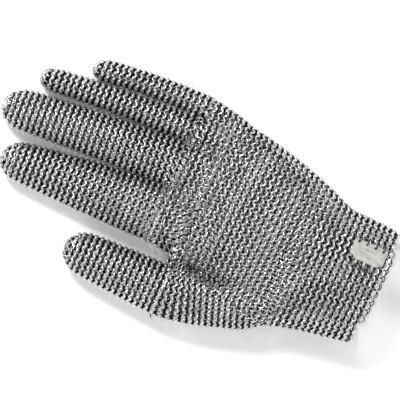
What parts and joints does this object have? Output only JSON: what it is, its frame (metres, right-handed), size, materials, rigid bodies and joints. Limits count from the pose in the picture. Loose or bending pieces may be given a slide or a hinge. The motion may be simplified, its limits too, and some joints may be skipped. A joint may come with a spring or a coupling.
{
  "type": "cut resistant glove",
  "caption": "Stainless ring-mesh cut resistant glove with bending fingers and thumb, a slit cuff and a hooked steel closing plate.",
  "frame": {"origin": "on the flat underside of the palm, under its middle, at the rest_face mount", "axes": "+Y from the cuff to the fingertips, -X towards the thumb, +Z out of the back of the hand"},
  "size_m": [0.1151, 0.2151, 0.0374],
  "materials": {
    "ring_mesh": "bright welded stainless rings",
    "wire_rings": "bright drawn stainless wire",
    "plate_steel": "satin brushed stainless sheet"
  },
  "bodies": {
    "palm": {"back_panel": "ring_mesh", "palm_panel": "ring_mesh", "thumb_gusset": "ring_mesh", "cuff_band": "ring_mesh", "catch_rings": "wire_rings", "index_root_fold": "ring_mesh", "middle_root_fold": "ring_mesh", "ring_root_fold": "ring_mesh", "little_root_fold": "ring_mesh", "thumb_root_fold": "ring_mesh"},
    "index_root": {"index_root_mesh": "ring_mesh", "index_middle_fold": "ring_mesh"},
    "index_middle": {"index_middle_mesh": "ring_mesh", "index_tip_fold": "ring_mesh"},
    "index_tip": {"index_tip_mesh": "ring_mesh"},
    "middle_root": {"middle_root_mesh": "ring_mesh", "middle_middle_fold": "ring_mesh"},
    "middle_middle": {"middle_middle_mesh": "ring_mesh", "middle_tip_fold": "ring_mesh"},
    "middle_tip": {"middle_tip_mesh": "ring_mesh"},
    "ring_root": {"ring_root_mesh": "ring_mesh", "ring_middle_fold": "ring_mesh"},
    "ring_middle": {"ring_middle_mesh": "ring_mesh", "ring_tip_fold": "ring_mesh"},
    "ring_tip": {"ring_tip_mesh": "ring_mesh"},
    "little_root": {"little_root_mesh": "ring_mesh", "little_middle_fold": "ring_mesh"},
    "little_middle": {"little_middle_mesh": "ring_mesh", "little_tip_fold": "ring_mesh"},
    "little_tip": {"little_tip_mesh": "ring_mesh"},
    "thumb_root": {"thumb_root_mesh": "ring_mesh", "thumb_tip_fold": "ring_mesh"},
    "thumb_tip": {"thumb_tip_mesh": "ring_mesh"},
    "closure_flap": {"closure_flap": "ring_mesh", "link_rings": "wire_rings"},
    "closure_plate": {"closure_plate": "plate_steel", "plate_hooks": "plate_steel"}
  },
  "joints": [
    {"name": "index_root_flex", "type": "hinge", "parent": "palm", "child": "index_root", "pos_m": [-0.0134, 0.056, 0.00924], "axis": [-0.9984, -0.0558, 0], "range_deg": [0, 60], "deforming": ["index_root_fold"]},
    {"name": "index_middle_flex", "type": "hinge", "parent": "index_root", "child": "index_middle", "pos_m": [-0.01556, 0.09017, 0.0088], "axis": [-0.9984, -0.0558, 0], "range_deg": [0, 75], "deforming": ["index_middle_fold"]},
    {"name": "index_tip_flex", "type": "hinge", "parent": "index_middle", "child": "index_tip", "pos_m": [-0.01746, 0.11515, 0.00817], "axis": [-0.9984, -0.0558, 0], "range_deg": [0, 45], "deforming": ["index_tip_fold"]},
    {"name": "middle_root_flex", "type": "hinge", "parent": "palm", "child": "middle_root", "pos_m": [0.0144, 0.056, 0.00966], "axis": [-0.9972, -0.075, 0], "range_deg": [0, 60], "deforming": ["middle_root_fold"]},
    {"name": "middle_middle_flex", "type": "hinge", "parent": "middle_root", "child": "middle_middle", "pos_m": [0.01121, 0.09347, 0.00917], "axis": [-0.9972, -0.075, 0], "range_deg": [0, 75], "deforming": ["middle_middle_fold"]},
    {"name": "middle_tip_flex", "type": "hinge", "parent": "middle_middle", "child": "middle_tip", "pos_m": [0.00824, 0.12247, 0.00843], "axis": [-0.9972, -0.075, 0], "range_deg": [0, 45], "deforming": ["middle_tip_fold"]},
    {"name": "ring_root_flex", "type": "hinge", "parent": "palm", "child": "ring_root", "pos_m": [0.0339, 0.056, 0.00819], "axis": [-0.9986, -0.0523, 0], "range_deg": [0, 60], "deforming": ["ring_root_fold"]},
    {"name": "ring_middle_flex", "type": "hinge", "parent": "ring_root", "child": "ring_middle", "pos_m": [0.03164, 0.08873, 0.00789], "axis": [-0.9986, -0.0523, 0], "range_deg": [0, 75], "deforming": ["ring_middle_fold"]},
    {"name": "ring_tip_flex", "type": "hinge", "parent": "ring_middle", "child": "ring_tip", "pos_m": [0.02923, 0.11323, 0.00745], "axis": [-0.9986, -0.0523, 0], "range_deg": [0, 45], "deforming": ["ring_tip_fold"]},
    {"name": "little_root_flex", "type": "hinge", "parent": "palm", "child": "little_root", "pos_m": [0.0477, 0.053, 0.00714], "axis": [-0.9999, -0.0105, 0], "range_deg": [0, 60], "deforming": ["little_root_fold"]},
    {"name": "little_middle_flex", "type": "hinge", "parent": "little_root", "child": "little_middle", "pos_m": [0.04671, 0.07593, 0.00691], "axis": [-0.9999, -0.0105, 0], "range_deg": [0, 75], "deforming": ["little_middle_fold"]},
    {"name": "little_tip_flex", "type": "hinge", "parent": "little_middle", "child": "little_tip", "pos_m": [0.04471, 0.09513, 0.00652], "axis": [-0.9999, -0.0105, 0], "range_deg": [0, 45], "deforming": ["little_tip_fold"]},
    {"name": "thumb_root_flex", "type": "hinge", "parent": "palm", "child": "thumb_root", "pos_m": [-0.0477, 0.036, 0.01008], "axis": [-1, 0, 0], "range_deg": [0, 30], "deforming": ["thumb_root_fold"]},
    {"name": "thumb_tip_flex", "type": "hinge", "parent": "thumb_root", "child": "thumb_tip", "pos_m": [-0.0477, 0.063, 0.00935], "axis": [-1, 0, 0], "range_deg": [0, 50], "deforming": ["thumb_tip_fold"]},
    {"name": "flap_swing", "type": "hinge", "parent": "palm", "child": "closure_flap", "pos_m": [0.0318, -0.052, 0.017], "axis": [0, 1, 0], "range_deg": [0, 50]},
    {"name": "plate_swing", "type": "hinge", "parent": "closure_flap", "child": "closure_plate", "pos_m": [0.01959, -0.052, 0.03413], "axis": [0, 1, 0], "range_deg": [0, 140]}
  ]
}
